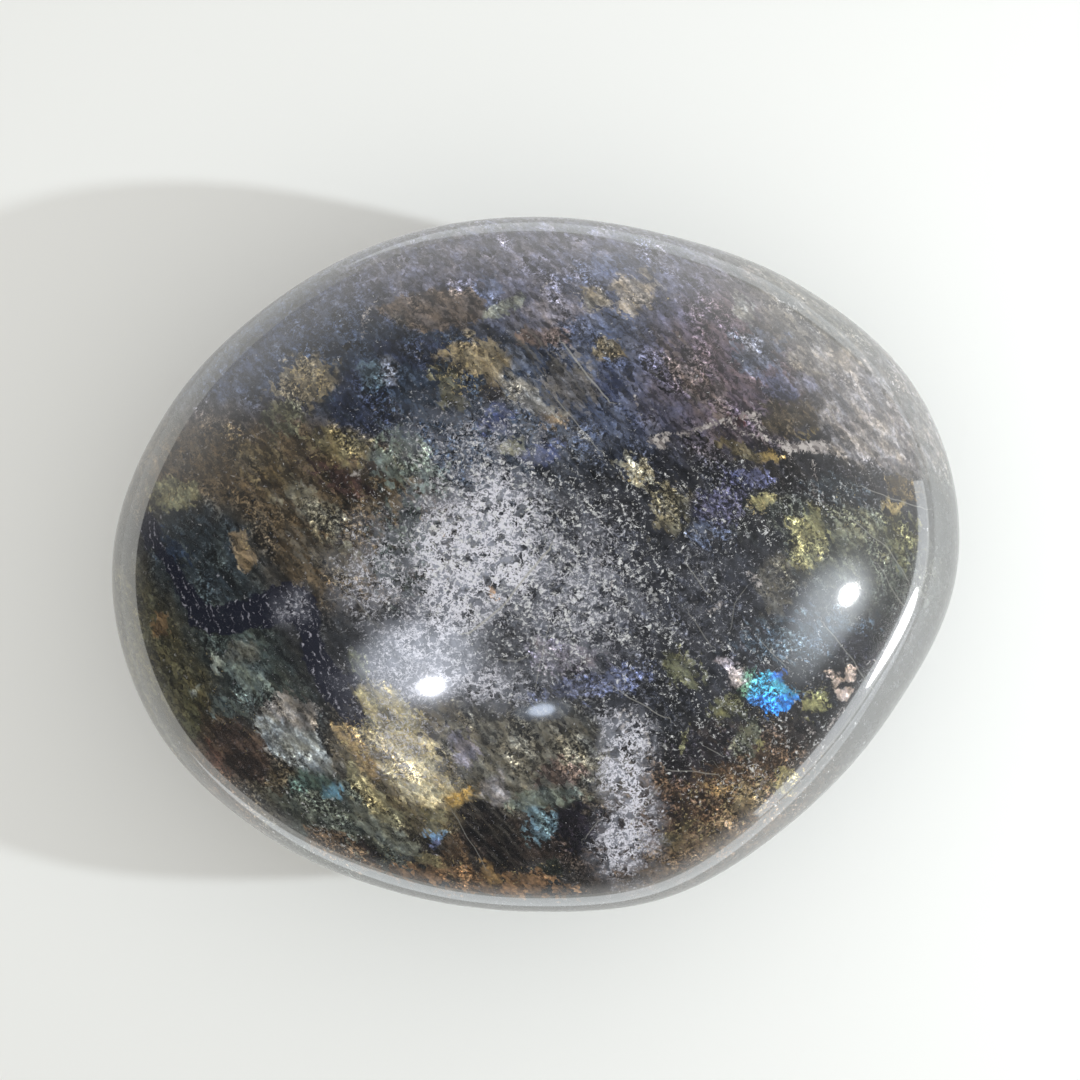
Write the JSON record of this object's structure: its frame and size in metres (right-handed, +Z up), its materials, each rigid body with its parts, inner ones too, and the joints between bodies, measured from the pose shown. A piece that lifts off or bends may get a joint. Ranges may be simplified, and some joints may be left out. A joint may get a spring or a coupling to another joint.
{
  "type": "labradorite freeform stone",
  "caption": "Oval polished labradorite stone, a low dome over a rounded underside with a flat base, to stand on a shelf or hold in the palm.",
  "frame": {"origin": "on the flat base, under the middle of the stone's outline", "axes": "+X along the stone's length, towards the blunter end, +Y across it, +Z up through the dome"},
  "size_m": [0.0856, 0.0688, 0.0321],
  "materials": {
    "polished_labradorite": "hand-polished to a gloss, dark grey-brown feldspar with gold, olive and blue patches"
  },
  "bodies": {
    "root": {"labradorite_stone": "polished_labradorite"}
  },
  "joints": []
}
